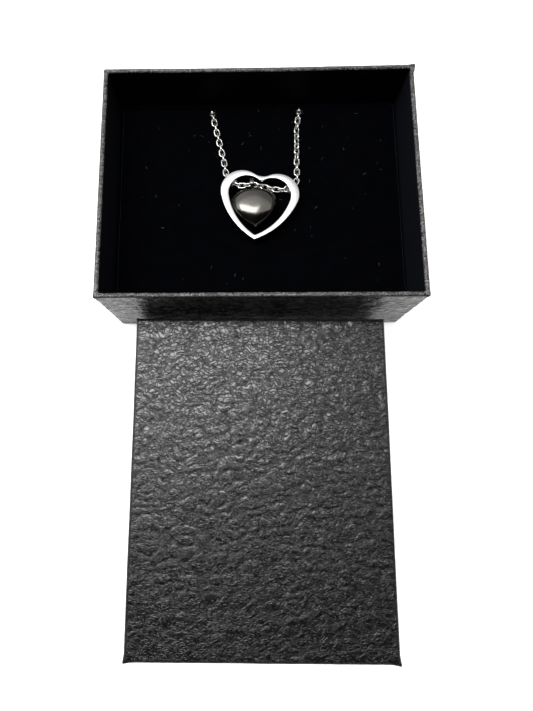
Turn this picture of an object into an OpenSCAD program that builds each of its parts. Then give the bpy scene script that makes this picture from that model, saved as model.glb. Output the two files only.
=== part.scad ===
// A small black heart urn on a chain inside an open heart frame, lying on the pad of its gift box.
// The tray stands behind, its lift-off lid lies in front of it, turned a quarter.

/* [Tray] */
// Width of the tray, left to right
tray_w = 90; // [84:1:110]
// Depth of the tray, front to back
tray_d = 70; // [68:1:90]
// Height of the tray
tray_h = 30; // [26:1:40]
// Thickness of the tray's wrapped card walls
tray_wall = 1.4; // [1:0.1:2]
// Thickness of the tray's card floor
tray_floor = 1.4; // [1:0.1:2.4]
// Radius of the tray's upright corners
tray_corner = 0.9; // [0.5:0.1:1.3]

/* [Lid] */
// Height of the lid
lid_h = 15.5; // [10:0.5:24]
// Thickness of the lid's walls
lid_wall = 1.4; // [1:0.1:2]
// Thickness of the lid's top
lid_top = 1.4; // [1:0.1:2.4]
// Radius of the lid's upright corners
lid_corner = 0.9; // [0.5:0.1:1.3]
// Room all round between the lid's walls and the tray that it slides over
lid_clearance = 0.2; // [0.1:0.05:0.6]
// Distance from the tray's front to the nearest corner of the lid lying before it
lid_gap = 2.8; // [1:0.1:10]
// Turn of the lid where it lies
lid_turn = -0.5; // [-3:0.1:0]
// How far the lid lies to the left of the tray's middle
lid_left = 0.5; // [0:0.1:2]

/* [Pad] */
// Height of the pad's top above the table
pad_top = 17; // [15:0.5:22]
// Thickness of the padded board
pad_thick = 3; // [2:0.5:4]
// Thickness of the skirt that carries the board
pad_skirt = 1; // [0.8:0.1:1.6]
// Room between the pad and the tray's walls
pad_clearance = 0.4; // [0.2:0.1:1]
// Radius of the pad's upright corners
pad_corner = 1.4; // [1.2:0.1:3]
// Room beside the chain in each slit
slit_room = 0.22; // [0.15:0.01:0.6]
// How far each slit starts before the chain's bend
slit_start = 0.5; // [0.3:0.1:1]

/* [Heart frame] */
// Distance from the frame's middle line to each lobe's centre
frame_lobe_x = 5.36; // [5:0.02:6]
// Outer radius of each lobe
frame_lobe_r = 6.45; // [6.2:0.05:7.5]
// Outer radius of each long side
frame_side_r = 22.3; // [20:0.1:30]
// Outer radius in the cleft
frame_cleft_r = 4.6; // [3:0.1:6]
// Distance from the lobe centres down to the tip
frame_tip = 15.16; // [14.8:0.02:18]
// Width of the band at the sides
frame_band = 2.43; // [1.8:0.01:2.6]
// Width of the band over the lobes
frame_band_top = 1.53; // [1.2:0.01:2]
// Width of the band at the tip
frame_band_tip = 1.28; // [1:0.01:2]
// Radius of each lobe of the opening
opening_lobe_r = 5.49; // [5.2:0.01:5.8]
// Radius of each long side of the opening
opening_side_r = 18.9; // [17:0.1:26]
// Radius in the opening's cleft
opening_cleft_r = 1.5; // [1:0.1:3]
// Thickness of the frame, front to back
frame_depth = 3.5; // [3.3:0.1:5]
// Diameter of the hole drilled in each shoulder
hole_d = 2.6; // [2.5:0.05:2.9]
// Place of each hole round its lobe, in degrees from the side
hole_place = 43; // [40:1:48]
// Slope of each hole, in degrees from the side
hole_slope = 42; // [38:1:50]
// Turn of the frame where it lies on the pad
frame_turn = -7.1; // [-10:0.1:0]
// Places of the frame's lobe line from the tray's middle, to the right and to the back
frame_at = [-0.08, 0.52]; // [-2:0.02:2]

/* [Urn heart] */
// Distance from the urn's middle line to each lobe's centre
urn_lobe_x = 3.2; // [2.9:0.05:3.4]
// Radius of each lobe
urn_lobe_r = 3.6; // [3.4:0.05:3.8]
// Radius of each long side
urn_side_r = 11; // [9:0.5:16]
// Radius in the cleft
urn_cleft_r = 0.8; // [0.5:0.1:1.5]
// Distance from the lobe centres down to the tip
urn_tip = 8; // [7:0.1:8.3]
// Thickness of the urn at its fullest
urn_thick = 5.2; // [4.4:0.1:6]
// Thickness of the urn's shell
urn_wall = 0.8; // [0.6:0.05:1]
// Diameter of the hole that the urn is filled through
fill_d = 1.9; // [1.6:0.1:2.2]
// Turn of the urn where it lies inside the frame
urn_turn = 3; // [0:0.5:6]
// Places of the urn's lobe line from the tray's middle, to the right and to the back
urn_at = [-1.9, -2.2]; // [-3:0.05:0]

/* [Bail] */
// Bore of the ring that the chain runs through
bail_bore = 2.6; // [2.5:0.05:3]
// Thickness of the ring's band
bail_band = 0.5; // [0.4:0.05:0.7]
// Width of the ring's band
bail_w = 1.2; // [0.9:0.1:1.5]
// Distance between the urn's cleft and the ring
bail_neck = 1.5; // [0.8:0.1:1.8]
// How far the ring stands to the left of its neck's middle
bail_shift = 0.3; // [0:0.05:0.4]
// Diameter of the neck
neck_d = 1.3; // [1:0.1:1.5]
// Length of the plug inside the urn
plug_len = 2; // [1.2:0.1:2.4]

/* [Chain] */
// Length of the closed necklace
necklace_len = 406; // [396:2:416]
// Length of a link
link_len = 2.94; // [2.92:0.01:3]
// Width of a link
link_w = 2; // [1.98:0.01:2.1]
// Thickness of a link's wire
link_wire = 0.46; // [0.4:0.01:0.46]
// Distance from one link to the next
link_pitch = 1.78; // [1.76:0.01:1.8]
// How far the right strand's links are turned over halfway up
strand_turn = 38; // [0:1:60]
// Distance between the middles of the clasp's two eye links
clasp_span = 8; // [7:0.5:12]
// How far the clasp lies to the right of the middle
clasp_x = 1; // [0.9:0.02:1.1]
// Diameter of the clasp's barrel
clasp_d = 2.4; // [2:0.1:3]
// Thickness of the clasp's eyes
eye_thick = 0.7; // [0.6:0.05:0.8]
// Diameter of the hole in each eye
eye_bore = 1.2; // [1:0.05:1.4]
// Width of the rim round each eye's hole
eye_rim = 0.55; // [0.4:0.05:0.7]

/* [Hidden] */
$fn = 96;

// Height of a piece above what it lies on
rest_gap = 0.12;
// Gap between the screw plug and the wall of its hole
thread_gap = 0.06;
// Extra length of a cutting body past the face that it cuts
past = 1;

lid_over = lid_wall + lid_clearance;
lid_len = tray_w + 2 * lid_over;
lid_wide = tray_d + 2 * lid_over;
// Depth that the lid takes up as it lies, a little more than its length where it is turned
lid_depth = (lid_len - 2 * lid_corner) * cos(lid_turn) + (lid_wide - 2 * lid_corner) * sin(abs(lid_turn))
    + 2 * lid_corner;
total_d = lid_depth + lid_gap + tray_d;
tray_y = (total_d - tray_d) / 2;
lid_y = (lid_depth - total_d) / 2;

pad_w = tray_w - 2 * (tray_wall + pad_clearance);
pad_d = tray_d - 2 * (tray_wall + pad_clearance);

// A place given from the tray's middle, moved to the model's own origin
function on_tray(p) = [p.x, p.y + tray_y, p.z];
function unit(v) = v / norm(v);
function flat(v) = [v.x, v.y];
function turned(p, angle) = [p.x * cos(angle) - p.y * sin(angle), p.x * sin(angle) + p.y * cos(angle)];

// Hearts are drawn from arcs that run smoothly into each other, with y = 0 on the line of the lobe centres.
// Centre of the long side's arc, which touches the lobe inside and ends in the tip
function side_centre(lobe, lobe_r, side_r, tip) =
    let (
        down = tip - lobe,
        far = norm(down),
        u = down / far,
        near_r = side_r - lobe_r,
        along = (near_r ^ 2 - side_r ^ 2 + far ^ 2) / (2 * far),
        across = sqrt(near_r ^ 2 - along ^ 2)
    )
    lobe + u * along + [u.y, -u.x] * across;
// Centre of the cleft's arc, which touches both lobes outside
function cleft_centre(lobe, lobe_r, cleft_r) = [0, lobe.y + sqrt((cleft_r + lobe_r) ^ 2 - lobe.x ^ 2)];

// Points round a heart, for a body that is lofted; side_steps and lobe_steps are for each half
function heart_points(
    lobe_x, lobe_r, side_r, cleft_r, tip_y, side_steps = 9, lobe_steps = 14, cleft_steps = 3
) =
    let (
        lobe = [lobe_x, 0],
        tip = [0, tip_y],
        side = side_centre(lobe, lobe_r, side_r, tip),
        cleft = cleft_centre(lobe, lobe_r, cleft_r),
        from = atan2(tip.y - side.y, tip.x - side.x),
        meet = atan2(lobe.y - side.y, lobe.x - side.x),
        top = atan2(cleft.y - lobe.y, cleft.x - lobe.x),
        half = concat(
            [for (k = [0:side_steps - 1]) let (a = from + (meet - from) * k / side_steps)
                side + side_r * [cos(a), sin(a)]],
            [for (k = [0:lobe_steps - 1]) let (a = meet + (top - meet) * k / lobe_steps)
                lobe + lobe_r * [cos(a), sin(a)]],
            [for (k = [0:cleft_steps]) let (a = top - 180 + (-90 - (top - 180)) * k / cleft_steps)
                cleft + cleft_r * [cos(a), sin(a)]]
        ),
        n = len(half)
    )
    concat(half, [for (k = [n - 2:-1:1]) [-half[k].x, half[k].y]]);

// Right half of a solid heart outline, from true arcs
module half_heart(lobe, lobe_r, side_r, cleft_r, tip_y) {
    tip = [0, tip_y];
    side = side_centre(lobe, lobe_r, side_r, tip);
    cleft = cleft_centre(lobe, lobe_r, cleft_r);
    meet = lobe + unit(lobe - side) * (lobe_r + past);
    touch = lobe + unit(cleft - lobe) * lobe_r;
    translate(lobe) circle(r = lobe_r);
    intersection() {
        translate(side) circle(r = side_r);
        polygon([tip, [meet.x + past, tip.y], meet, lobe, [0, lobe.y]]);
    }
    difference() {
        polygon([[0, lobe.y], lobe, touch, [0, touch.y]]);
        translate(cleft) circle(r = cleft_r);
    }
}

module heart_2d(lobe, lobe_r, side_r, cleft_r, tip_y) {
    half_heart(lobe, lobe_r, side_r, cleft_r, tip_y);
    mirror([1, 0]) half_heart(lobe, lobe_r, side_r, cleft_r, tip_y);
}

// The opening follows the frame's outline by the widths of the band
opening_lobe = [
    frame_lobe_x + frame_lobe_r - frame_band - opening_lobe_r,
    frame_lobe_r - frame_band_top - opening_lobe_r
];
opening_tip = frame_band_tip - frame_tip;

// Holes through the shoulders, in the frame's own plane: the mouth outside, the way in and the mouth inside
hole_mouth = [frame_lobe_x + frame_lobe_r * cos(hole_place), frame_lobe_r * sin(hole_place)];
hole_way = -[cos(hole_slope), sin(hole_slope)];
hole_back = hole_mouth - opening_lobe;
hole_near = -(hole_back * hole_way);
hole_reach = hole_near - sqrt(hole_near ^ 2 - hole_back * hole_back + opening_lobe_r ^ 2);

frame_z = pad_top + rest_gap + frame_depth / 2;
urn_z = pad_top + rest_gap + urn_thick / 2;

// A place in the frame's plane, mirrored for the left side, given from the tray's middle
function frame_place(side, p) = let (q = turned([side * p.x, p.y], frame_turn))
    [q.x + frame_at.x, q.y + frame_at.y, frame_z];

urn_cleft_y = cleft_centre([urn_lobe_x, 0], urn_lobe_r, urn_cleft_r).y - urn_cleft_r;
bail_r = bail_bore / 2 + bail_band;
bail_y = urn_cleft_y + bail_neck + bail_r;
bail_centre = let (q = turned([-bail_shift, bail_y], urn_turn)) [q.x + urn_at.x, q.y + urn_at.y, urn_z];

// The chain's route is a line of corners with a bend radius each, from the clasp's left eye round to its
// right eye, given from the tray's middle. Where it lies, its centre is half a link above the floor or pad.
floor_z = tray_floor + link_w / 2 + rest_gap;
pad_z = pad_top + link_w / 2 + rest_gap;
bend_r = 3.4;
gentle_r = 14;
corner_r = 5;
run_x = pad_w / 2 - pad_skirt - link_w;
run_back = pad_d / 2 - pad_skirt - 2 * link_w;
run_front = -run_back - link_w;
fold_x = 12;
// Corners chosen along the visible chain, each [x, y, height over where it lies on the pad]. The first four
// lead from the left drop to the frame, three cross its opening and the last four lead to the right drop.
chain_points = [
    [-14.9, 30.4, 0], [-13.7, 24.2, 0], [-12.1, 17.3, 0], [-10.8, 11.2, 0.2],
    [-5.35, 3.15, 1], [1.4, 2.75, 0.9], [4.9, 2.05, 0.7],
    [11.4, 9.3, 0.2], [11.6, 16.4, 0], [11.7, 22.8, 0], [12.9, 30.95, 0]
];
drop_left = flat(chain_points[0]);
drop_right = flat(chain_points[10]);
way_left = unit(drop_left - flat(chain_points[1]));
way_right = unit(drop_right - flat(chain_points[9]));
outside_step = 1.2;
inside_step = 0.9;
bail_step = 0.9;

function lying(k, r) = let (p = chain_points[k]) [p.x, p.y, pad_z + p.z, r];
function through_hole(side, p, r) = concat(frame_place(side, p), [r]);
function at(p, z, r) = [p.x, p.y, z, r];

function route_corners(fold_y) = concat(
    [
        [clasp_x - clasp_span / 2, fold_y, floor_z, 0],
        [-fold_x, fold_y, floor_z, corner_r],
        [-fold_x, run_front, floor_z, corner_r],
        [-run_x, run_front, floor_z, corner_r],
        [-run_x, run_back, floor_z, corner_r],
        at(drop_left, floor_z, bend_r),
        at(drop_left, pad_z, bend_r)
    ],
    [for (k = [1:3]) lying(k, gentle_r)],
    [
        through_hole(-1, hole_mouth - hole_way * outside_step, 3),
        through_hole(-1, hole_mouth + hole_way * (hole_reach + inside_step), 3),
        lying(4, 4),
        [bail_centre.x - bail_step, bail_centre.y, bail_centre.z, 4],
        [bail_centre.x + bail_step, bail_centre.y, bail_centre.z, 4]
    ],
    [for (k = [5:6]) lying(k, 6)],
    [
        through_hole(1, hole_mouth + hole_way * (hole_reach + inside_step), 3),
        through_hole(1, hole_mouth - hole_way * outside_step, 3)
    ],
    [for (k = [7:9]) lying(k, gentle_r)],
    [
        at(drop_right, pad_z, bend_r),
        at(drop_right, floor_z, bend_r),
        [run_x, run_back, floor_z, corner_r],
        [run_x, run_front, floor_z, corner_r],
        [fold_x, run_front, floor_z, corner_r],
        [fold_x, fold_y, floor_z, corner_r],
        [clasp_x + clasp_span / 2, fold_y, floor_z, 0]
    ]
);

function place(row) = [row[0], row[1], row[2]];
// Points of the arc that rounds the corner b between a and c
function bend_points(a, b, c, r) =
    let (u = unit(b - a), v = unit(c - b), turn = acos(max(-1, min(1, u * v))))
    turn < 1 ? [b] :
    let (
        cut = r * tan(turn / 2),
        middle = b + unit(v - u) * r / cos(turn / 2),
        spoke = b - u * cut - middle,
        steps = max(2, ceil(turn / 8))
    )
    [for (k = [0:steps]) middle + spoke * cos(turn * k / steps) + u * r * sin(turn * k / steps)];
function route_points(rows) = let (last = len(rows) - 1) concat(
    [place(rows[0])],
    [
        for (k = [1:last - 1])
            each bend_points(place(rows[k - 1]), place(rows[k]), place(rows[k + 1]), rows[k][3])
    ],
    [place(rows[last])]
);
// Distance along the route at each of its points
function distances(points) =
    let (steps = [for (k = [1:len(points) - 1]) norm(points[k] - points[k - 1])])
    [for (k = 0, s = 0; k <= len(steps); s = s + (k < len(steps) ? steps[k] : 0), k = k + 1) s];

// An odd number of links stands the first and the last on edge, as the clasp's flat eyes need
link_count = 2 * round((necklace_len - clasp_span) / link_pitch / 2 - 0.5) + 1;
plain_route = route_points(route_corners(0));
plain_run = distances(plain_route)[len(plain_route) - 1];
// The fold under the pad's middle takes up what is left of the chain's length
fold_y = (link_count * link_pitch - plain_run) / 2;
route = route_points(route_corners(fold_y));
run = distances(route);
tables = [for (axis = [0:2]) [for (k = [0:len(route) - 1]) [run[k], route[k][axis]]]];
function along(s) = [lookup(s, tables[0]), lookup(s, tables[1]), lookup(s, tables[2])];

joints = [for (k = [0:link_count]) along(k * link_pitch)];
ways = [for (k = [0:link_count - 1]) unit(joints[k + 1] - joints[k])];
// A link's heading, in degrees; where the chain drops straight down it turns evenly from one run to the next
function level(v) = norm([v.x, v.y]) > 0.15;
function closest(angle, before) = angle - 360 * round((angle - before) / 360);
headings = [
    for (
        k = 0, a = atan2(ways[0].y, ways[0].x);
        k < link_count;
        k = k + 1, a = k < link_count && level(ways[k]) ? closest(atan2(ways[k].y, ways[k].x), a) : a
    ) a
];
heading_table = [for (k = [0:link_count - 1]) if (level(ways[k])) [k, headings[k]]];
// The right strand is turned over halfway up, as it lies
strand_foot = chain_points[7].y;
function strand_roll(p) =
    p.z > pad_top && p.x > 0 && p.y > strand_foot
        ? strand_turn * sin(180 * (p.y - strand_foot) / (drop_right.y - bend_r - strand_foot))
        : 0;
middle_link = ceil(link_count / 2);

module rounded_2d(w, d, r) {
    square([w - 2 * r, d], center = true);
    square([w, d - 2 * r], center = true);
    for (x = [-1, 1], y = [-1, 1]) translate([x * (w / 2 - r), y * (d / 2 - r)]) circle(r = r);
}

module tray() {
    color("#1b1b1d") translate([0, tray_y, 0]) difference() {
        linear_extrude(tray_h) rounded_2d(tray_w, tray_d, tray_corner);
        translate([0, 0, tray_floor]) linear_extrude(tray_h)
            square([tray_w - 2 * tray_wall, tray_d - 2 * tray_wall], center = true);
    }
}

module lid() {
    color("#202022") translate([-lid_left, lid_y, 0]) rotate(lid_turn) difference() {
        linear_extrude(lid_h) rounded_2d(lid_wide, lid_len, lid_corner);
        translate([0, 0, -past]) linear_extrude(lid_h - lid_top + past)
            square([lid_wide - 2 * lid_wall, lid_len - 2 * lid_wall], center = true);
    }
}

// Slit that the chain dives through, from before the start of its bend to behind its drop
module slit(drop, way) {
    half = link_w / 2 + slit_room;
    back = bend_r + slit_start - half;
    translate([drop.x, drop.y + tray_y, pad_top - pad_thick - past]) rotate(atan2(way.y, way.x))
        linear_extrude(pad_thick + 2 * past) {
            circle(r = half);
            translate([-back, 0]) circle(r = half);
            translate([-back, -half]) square([back, 2 * half]);
        }
}

module pad() {
    color("#08080c") difference() {
        translate([0, tray_y, tray_floor + rest_gap]) linear_extrude(pad_top - tray_floor - rest_gap)
            rounded_2d(pad_w, pad_d, pad_corner);
        translate([0, tray_y, tray_floor - past]) linear_extrude(pad_top - pad_thick - tray_floor + past)
            square([pad_w - 2 * pad_skirt, pad_d - 2 * pad_skirt], center = true);
        slit(drop_left, way_left);
        slit(drop_right, way_right);
    }
}

module frame_heart() {
    color("#d8dade") translate(on_tray([frame_at.x, frame_at.y, frame_z])) rotate(frame_turn) difference() {
        linear_extrude(frame_depth, center = true) difference() {
            heart_2d([frame_lobe_x, 0], frame_lobe_r, frame_side_r, frame_cleft_r, -frame_tip);
            heart_2d(opening_lobe, opening_lobe_r, opening_side_r, opening_cleft_r, opening_tip);
        }
        for (side = [-1, 1]) translate([side * hole_mouth.x, hole_mouth.y, 0])
            rotate([0, 90, side > 0 ? hole_slope : 180 - hole_slope])
                cylinder(d = hole_d, h = 2 * (hole_reach + past), center = true);
    }
}

// Closed puffed heart: the outline shrinks towards a spine point while it rises to the front and the back
module puffed_heart(outline, half_thick, spine, layers) {
    n = len(outline);
    rise = [for (k = [-layers:layers]) 90 * k / (layers + 1)];
    rings = [for (a = rise) let (shrink = cos(a) ^ 0.72)
        for (p = outline) concat(spine + (p - spine) * shrink, [half_thick * sin(a)])];
    count = len(rise);
    points = concat(rings, [concat(spine, [-half_thick]), concat(spine, [half_thick])]);
    sides = [for (r = [0:count - 2], k = [0:n - 1])
        [r * n + k, (r + 1) * n + k, (r + 1) * n + (k + 1) % n, r * n + (k + 1) % n]];
    bottom = [for (k = [0:n - 1]) [count * n, k, (k + 1) % n]];
    top = [for (k = [0:n - 1]) [count * n + 1, (count - 1) * n + (k + 1) % n, (count - 1) * n + k]];
    polyhedron(points, concat(sides, bottom, top));
}

module urn_heart() {
    spine = [0, -urn_lobe_r / 3];
    shell = heart_points(urn_lobe_x, urn_lobe_r, urn_side_r, urn_cleft_r, -urn_tip);
    hollow = heart_points(urn_lobe_x, urn_lobe_r - urn_wall, urn_side_r - urn_wall, urn_cleft_r + urn_wall,
        2 * urn_wall - urn_tip, 5, 8, 2);
    color("#1c1c1e") translate(on_tray([urn_at.x, urn_at.y, urn_z])) rotate(urn_turn) difference() {
        puffed_heart(shell, urn_thick / 2, spine, 6);
        puffed_heart(hollow, urn_thick / 2 - urn_wall, spine, 3);
        translate([0, urn_cleft_y - urn_wall - plug_len, 0]) rotate([-90, 0, 0])
            cylinder(d = fill_d, h = plug_len + urn_wall + past);
    }
}

module bail() {
    plug_y = urn_cleft_y + rest_gap;
    color("#262628") translate(on_tray([urn_at.x, urn_at.y, urn_z])) rotate(urn_turn) {
        translate([-bail_shift, bail_y, 0]) rotate([0, 90, 0]) rotate_extrude()
            translate([bail_bore / 2, -bail_w / 2]) square([bail_band, bail_w]);
        translate([0, plug_y, 0]) rotate([-90, 0, 0])
            cylinder(d = neck_d, h = bail_y - bail_r + bail_band / 2 - plug_y);
        translate([0, plug_y - plug_len, 0]) rotate([-90, 0, 0])
            cylinder(d = fill_d - 2 * thread_gap, h = plug_len);
    }
}

// One oval link, lying flat with its length along x
module link() {
    ring_r = (link_w - link_wire) / 2;
    straight = link_len - link_w;
    for (side = [-1, 1]) {
        translate([side * straight / 2, 0, 0]) rotate(-90 * side) rotate_extrude(angle = 180)
            translate([ring_r, 0]) circle(d = link_wire, $fn = 24);
        translate([0, side * ring_r, 0]) rotate([0, 90, 0])
            cylinder(d = link_wire, h = straight, center = true, $fn = 24);
    }
}

// Links from one number to another, every second one on edge
module links(first, last) {
    for (k = [first:last]) {
        centre = (joints[k] + joints[k + 1]) / 2;
        translate(on_tray(centre))
            rotate([(k % 2 == 0 ? 90 : 0) + strand_roll(centre), -asin(ways[k].z), lookup(k, heading_table)])
                link($fn = 32);
    }
}

module chain_left() {
    color("#c9ccd2") links(0, middle_link - 1);
}

module chain_right() {
    color("#c9ccd2") links(middle_link, link_count - 1);
}

module clasp() {
    eye_in = 0.4;
    eye_r = eye_bore / 2 + eye_rim;
    barrel = clasp_span - 2 * (eye_in + eye_bore / 2 + 0.3);
    color("#c9ccd2") translate(on_tray([clasp_x, fold_y, floor_z])) {
        rotate([0, 90, 0]) cylinder(d = clasp_d, h = barrel, center = true);
        for (side = [-1, 1]) difference() {
            union() {
                translate([side * (clasp_span / 2 - eye_in), 0, 0])
                    cylinder(r = eye_r, h = eye_thick, center = true);
                translate([side * (barrel / 2 - 0.2), 0, 0])
                    cube([2 * (eye_r - 0.3), eye_r, eye_thick], center = true);
            }
            translate([side * (clasp_span / 2 - eye_in), 0, 0])
                cylinder(d = eye_bore, h = eye_thick + 2 * past, center = true);
        }
    }
}

tray();
lid();
pad();
frame_heart();
urn_heart();
bail();
chain_left();
chain_right();
clasp();
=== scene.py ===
import math

import bpy
from mathutils import Matrix, Vector, noise


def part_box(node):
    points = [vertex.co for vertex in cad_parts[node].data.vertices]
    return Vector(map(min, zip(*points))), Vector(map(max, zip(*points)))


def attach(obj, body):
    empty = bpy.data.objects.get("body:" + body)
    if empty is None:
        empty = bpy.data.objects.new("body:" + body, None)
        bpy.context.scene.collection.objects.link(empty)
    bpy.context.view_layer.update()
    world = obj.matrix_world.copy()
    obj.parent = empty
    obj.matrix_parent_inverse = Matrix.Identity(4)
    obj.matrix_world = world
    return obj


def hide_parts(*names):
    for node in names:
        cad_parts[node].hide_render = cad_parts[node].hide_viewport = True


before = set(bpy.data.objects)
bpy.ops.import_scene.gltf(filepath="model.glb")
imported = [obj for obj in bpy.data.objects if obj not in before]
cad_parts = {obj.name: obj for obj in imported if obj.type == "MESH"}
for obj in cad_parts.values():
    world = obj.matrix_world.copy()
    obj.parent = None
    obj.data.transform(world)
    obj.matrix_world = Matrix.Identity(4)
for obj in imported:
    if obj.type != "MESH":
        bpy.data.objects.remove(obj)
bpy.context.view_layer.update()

# Lengths are in millimetres and angles in degrees. Points are turned into metres where a mesh is made.
MM = 0.001

# Camera, held above the box and looking almost straight down
CAMERA_AT = (-6.99, -25.85, 159.52)
CAMERA_TILT = 10.15
CAMERA_YAW = 2.52
CAMERA_ROLL = -2.77
CAMERA_LENS = 25.32
CAMERA_SENSOR = 36
CAMERA_SHIFT = 0.0459


def middle_of(node):
    """Middle of a node's box at rest, and its half sizes, in millimetres."""
    low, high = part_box(node)
    centre = [(a + b) / 2 / MM for a, b in zip(low, high)]
    half = [(b - a) / 2 / MM for a, b in zip(low, high)]
    return centre, half


TRAY_AT, TRAY_HALF = middle_of("tray")
LID_AT, LID_BOX = middle_of("lid")
PAD_AT, PAD_HALF = middle_of("pad")

# Box: card wrapped in embossed paper
CARD = 1.4
RIM_ROUND = 0.6
FOOT_ROUND = 0.5
TRAY_CORNER = 0.9
FOOT_CORNER = 0.3
LID_OVER = 1.6
LID_HALF = (TRAY_HALF[1] + LID_OVER, TRAY_HALF[0] + LID_OVER)
LID_TURN = -0.5
LID_CORNER = 0.45
LID_EDGE_ROUND = 1.0
RIM_CORNER = 0.3
INNER_CORNER = 0.25
TRAY_TOP = TRAY_AT[2] + TRAY_HALF[2]
LID_TOP = LID_AT[2] + LID_BOX[2]
GRAIN_CELL = 0.46
GRAIN_DEPTH = 0.10
LINING_CELL = 2.5

# How far the real box is out of true. At its rim the tray's left side leans out, and its far right
# corner is drawn out along X and Y. The lid's far and left sides stand out. Each holds within a band
# at its own side.
EDGE_BAND = 2
TRAY_LEFT_LEAN = 1.1
TRAY_FAR_RIGHT_DRAW = (0.35, 0.7)
LID_FAR_OUT = 0.9
LID_LEFT_OUT = 0.35

# How unevenly the card lies
TRAY_WAVES = (0.12, 0.10)
LID_WAVES = (0.10, 0.12)

# Which of a piece's two materials a face takes
OUTSIDE = 0
INSIDE = 1

# Pad: a velvet covered board on a skirt
PAD_TOP = PAD_AT[2] + PAD_HALF[2]
PAD_FOOT = PAD_AT[2] - PAD_HALF[2]
PAD_BOARD = 3
PAD_SKIRT = 1
PAD_CORNER = 1.4
PAD_EDGE_ROUND = 1.3
PAD_CELL = 0.9
PAD_TUCK = 0.1
PAD_SKIRT_CORNER = 0.5
PAD_SAG = 0.12
DIMPLE_DEPTH = 0.75
DIMPLE_REACH = 2.1

# Lint on the velvet
LINT_MARGIN = 3
LINT_LEN = 0.9
LINT_THICK = 0.03
LINT_PER_SQUARE_METRE = 16000.0
LINT_SEED = 7

# Heart frame: its band between two hearts, and the hole's place on the lobe and its slope
FRAME_AT = (-0.08, 0.52)
FRAME_TURN = -7.1
FRAME_DEPTH = 3.5
FRAME_LOBE = Vector((5.36, 0))
FRAME_LOBE_R = 6.45
FRAME_SIDE_R = 22.3
FRAME_CLEFT_R = 4.6
FRAME_TIP = Vector((0, -15.16))
BAND_SIDE = 2.43
BAND_TOP = 1.53
BAND_TIP = 1.28
OPENING_LOBE_R = 5.49
OPENING_SIDE_R = 18.9
OPENING_CLEFT_R = 1.5
FRAME_BEVEL = 0.13
HOLE_D = 2.6
HOLE_PLACE = 43
HOLE_SLOPE = 42

# Urn heart and its bail
URN_AT = (-1.9, -2.2)
URN_TURN = 3
URN_THICK = 5.2
URN_LOBE = Vector((3.2, 0))
URN_LOBE_R = 3.6
URN_SIDE_R = 11
URN_CLEFT_R = 0.8
URN_TIP = Vector((0, -8))
URN_WALL = 0.8
FILL_D = 1.9
BAIL_BORE = 2.6
BAIL_BAND = 0.5
BAIL_W = 1.2
BAIL_NECK = 1.5
BAIL_SHIFT = 0.3
BAIL_EASE = 0.16
NECK_D = 1.3
PLUG_LEN = 2
THREAD_GAP = 0.06
NECK_SINK = 0.2

# How far the puffed heart's outline turns round towards its crown, and how its sides fall away
URN_ROUNDING = 0.96
URN_EASE = 0.7
URN_SHRINK = 0.66

# Chain: its links, the clasp, the radii of its bends and how far these stand off the holes and the bail
NECKLACE_LEN = 406
LINK_LEN = 2.94
LINK_W = 2
LINK_WIRE = 0.46
LINK_PITCH = 1.78
STRAND_TURN = 38
CLASP_SPAN = 8
CLASP_X = 1
BEND_R = 3.4
GENTLE_R = 14
CORNER_R = 5
HOLE_BEND_R = 3
BAIL_BEND_R = 4
ACROSS_R = 6
FOLD_X = 12
OUTSIDE_STEP = 1.2
INSIDE_STEP = 0.9
BAIL_STEP = 0.9
REST_GAP = 0.12
SLIT_ROOM = 0.22
SLIT_START = 0.5
LINK_STEPS = 16
WIRE_SIDES = 6
STEEP = 0.15

# Where the chain lies on the pad: X and Y from the tray's middle, and how far it is lifted
CHAIN_POINTS = [
    (-14.9, 30.4, 0), (-13.7, 24.2, 0), (-12.1, 17.3, 0), (-10.8, 11.2, 0.2),
    (-5.35, 3.15, 1), (1.4, 2.75, 0.9), (4.9, 2.05, 0.7),
    (11.4, 9.3, 0.2), (11.6, 16.4, 0), (11.7, 22.8, 0), (12.9, 30.95, 0),
]

# Table and light; lamp places and sizes are in metres
TABLE_HALF = 4000
TABLE_GAP = 8
TABLE_SHUT_OPEN = (0.26, 0.48)
TABLE_GLOW = 0.78
STRIP_AT = (-0.27, 0.16, 0.72)
STRIP_AIM = (-0.10, 0.07, 0.0)
STRIP_SIZE = (0.8, 0.28)
STRIP_WATTS = 4.5


# Shader and geometry node helpers

def add_node(tree, kind, inputs=None, **settings):
    """Adds a node; an input takes a value or the output of another node."""
    made = tree.nodes.new(kind)
    for name, value in settings.items():
        setattr(made, name, value)
    for name, value in (inputs or {}).items():
        if isinstance(value, bpy.types.NodeSocket):
            tree.links.new(value, made.inputs[name])
        else:
            made.inputs[name].default_value = value
    return made


def calc(tree, operation, *values):
    return add_node(tree, "ShaderNodeMath", dict(enumerate(values)), operation=operation).outputs[0]


def vector_calc(tree, operation, *values):
    return add_node(tree, "ShaderNodeVectorMath", dict(enumerate(values)), operation=operation).outputs[0]


def spread(tree, value, low, high, to_low=0.0, to_high=1.0):
    """Maps a value smoothly from one range to another."""
    inputs = {"Value": value, "From Min": low, "From Max": high, "To Min": to_low, "To Max": to_high}
    return add_node(tree, "ShaderNodeMapRange", inputs, interpolation_type="SMOOTHSTEP").outputs[0]


def clouds(tree, place, per_mm, detail=2.0, roughness=0.5):
    inputs = {"Vector": place, "Scale": per_mm / MM, "Detail": detail, "Roughness": roughness}
    return add_node(tree, "ShaderNodeTexNoise", inputs)


def creased_cells(tree, place, per_mm, soft):
    """Rounded cells with creases between them, 0 in a crease and 1 on a cell."""
    cells = add_node(
        tree, "ShaderNodeTexVoronoi", {"Vector": place, "Scale": per_mm / MM}, feature="DISTANCE_TO_EDGE"
    )
    return spread(tree, cells.outputs["Distance"], 0.0, soft)


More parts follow.
